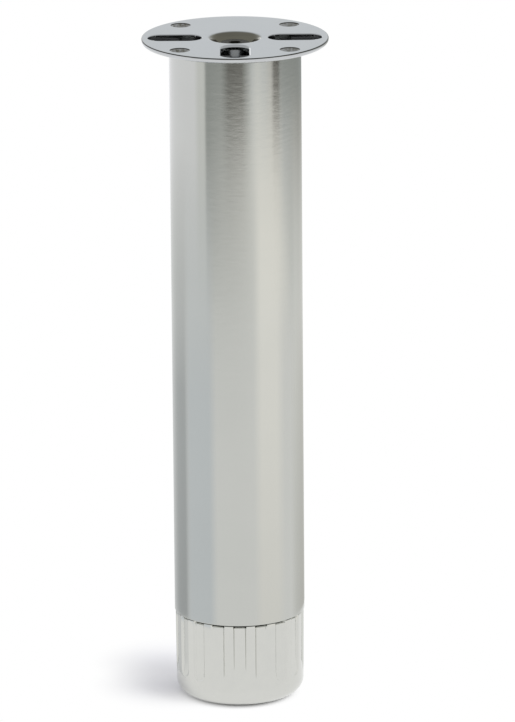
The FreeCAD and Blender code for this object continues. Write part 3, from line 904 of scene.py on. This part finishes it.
def card(name, rings, material):
    """A piece of the studio that only reflections show."""
    bm = bmesh.new()
    add_rings(bm, rings)
    piece = new_piece(name, bm)
    paint(piece, material)
    piece.visible_camera = False
    piece.visible_diffuse = False
    piece.visible_shadow = False
    piece.visible_transmission = False


def studio_ring():
    """Cards round the leg and a ceiling over it."""
    material, tree, glow = emission_material("studio_cards")
    share, height = round_and_up(tree)
    tone = ramp(tree, share, FLOOR_BANDS)["Color"]
    for bands, (bottom, top) in CARDS:
        tone = blend(tree, remap(tree, height, bottom, top), tone, ramp(tree, share, bands)["Color"])
    tree.links.new(tone, glow.inputs["Color"])
    outline = ((RING_R, 0.0), (RING_R, RING_HEIGHT), (0.0, RING_HEIGHT))
    card("studio_ring", [circle(r, z, segments=RING_SEGMENTS) for r, z in outline], material)


def near_ring(name, bands, gains, radius, low, high):
    """Narrow cards near the leg, clear between them and towards the top, and brighter upwards."""
    material, tree, glow = emission_material(name)
    share, height = round_and_up(tree)
    tones = ramp(tree, share, bands)
    tree.links.new(tones["Color"], glow.inputs["Color"])
    (start, dim), (end, bright) = gains
    tree.links.new(remap(tree, height, start, end, dim, bright), glow.inputs["Strength"])
    bottom, top = NEAR_FADE
    solid = combined(tree, "MULTIPLY", [tones["Alpha"], remap(tree, height, top, bottom)])
    clear = node(tree, "ShaderNodeBsdfTransparent")
    mix_surfaces(tree, solid, clear.outputs["BSDF"], glow.outputs["Emission"])
    card(name, [circle(radius, z, segments=RING_SEGMENTS) for z in (low, high)], material)


def glare_card():
    """Bright round card behind the leg, level with its plate, for glints on the plate's edges."""
    material, _, glow = emission_material("glare_card")
    glow.inputs["Strength"].default_value = GLARE_POWER
    place = Matrix.Rotation(GLARE_TURN, 4, "Z") @ Matrix.Translation((0.0, -GLARE_DISTANCE, PLATE_TOP))
    place = place @ Matrix.Rotation(math.pi / 2, 4, "X")
    rings = [circle(r, 0.0, segments=DISC_SEGMENTS) for r in (0.0, GLARE_R)]
    card("glare_card", [[place @ p for p in ring] for ring in rings], material)


def floor():
    """White paper under the glide, which keeps the leg's shadow and turns to plain white away from it."""
    bm = bmesh.new()
    add_rings(bm, [circle(r, 0.0, segments=DISC_SEGMENTS) for r in (0.0, FLOOR_R)])
    piece = new_piece("floor", bm)
    material, tree, shader = new_material("floor_paper", {
        "Base Color": FLOOR_TONE, "Roughness": 0.9, "Specular IOR Level": 0.0,
    })
    glow = node(tree, "ShaderNodeEmission")
    mix_surfaces(tree, plain_share(tree), shader.outputs["BSDF"], glow.outputs["Emission"])
    paint(piece, material)
    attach(piece, "glide")


def seeing_rays(tree):
    """1 for the rays that see a surface itself, 0 for those that gather its light."""
    path = node(tree, "ShaderNodeLightPath")
    rays = ("Is Camera Ray", "Is Glossy Ray", "Is Transmission Ray")
    return combined(tree, "MAXIMUM", [path.outputs[ray] for ray in rays])


def plain_share(tree):
    """How far the floor is plain white at a point, for the rays that see it."""
    shares = [seeing_rays(tree)]
    coordinates = node(tree, "ShaderNodeTexCoord")
    for place, (near, far) in SHADOW_ZONES:
        distance = node(tree, "ShaderNodeVectorMath", {1: place}, operation="DISTANCE")
        tree.links.new(coordinates.outputs["Object"], distance.inputs[0])
        shares.append(remap(tree, distance.outputs["Value"], near, far, kind="SMOOTHSTEP"))
    return combined(tree, "MULTIPLY", shares)


def sky():
    """Pale dome, white where it is seen."""
    world = bpy.data.worlds.new("studio")
    world.use_nodes = True
    tree = world.node_tree
    tone = node(tree, "ShaderNodeMix", {"A": SKY_TONE, "B": SKY_SEEN}, data_type="RGBA")
    tree.links.new(seeing_rays(tree), tone.inputs["Factor"])
    tree.links.new(tone.outputs["Result"], tree.nodes["Background"].inputs["Color"])
    bpy.context.scene.world = world


def key_light():
    """Large soft lamp above and to the right."""
    light = bpy.data.lights.new("key", "AREA")
    light.shape = "DISK"
    light.size = KEY_SIZE
    light.energy = KEY_POWER
    lamp = bpy.data.objects.new("key", light)
    lamp.location = KEY_PLACE
    lamp.rotation_euler = (-KEY_PLACE).to_track_quat("-Z", "Y").to_euler()
    lamp.visible_glossy = False
    bpy.context.scene.collection.objects.link(lamp)


def camera():
    data = bpy.data.cameras.new("camera")
    data.lens = CAMERA_LENS
    back = Vector((0.0, -math.cos(CAMERA_ELEVATION), math.sin(CAMERA_ELEVATION)))
    eye = bpy.data.objects.new("camera", data)
    turn = back.to_track_quat("Z", "Y").to_matrix().to_4x4()
    place = Matrix.Translation(CAMERA_TARGET + back * CAMERA_DISTANCE)
    eye.matrix_world = place @ turn @ Matrix.Rotation(-CAMERA_ROLL, 4, "Z")
    bpy.context.scene.collection.objects.link(eye)
    bpy.context.scene.camera = eye


bpy.context.scene.view_settings.view_transform = "Standard"
dress()
floor()
studio_ring()
near_ring("tube_cards", TUBE_BANDS, NEAR_GAIN, NEAR_RING_R, NEAR_RING_LOW, NEAR_RING_HIGH)
near_ring("blue_card", BLUE_BANDS, BLUE_GAIN, BLUE_RING_R, NEAR_RING_LOW, NEAR_RING_HIGH)
near_ring("foot_cards", FOOT_BANDS, NEAR_GAIN, NEAR_RING_R, 0.0, NEAR_RING_LOW)
glare_card()
sky()
key_light()
camera()
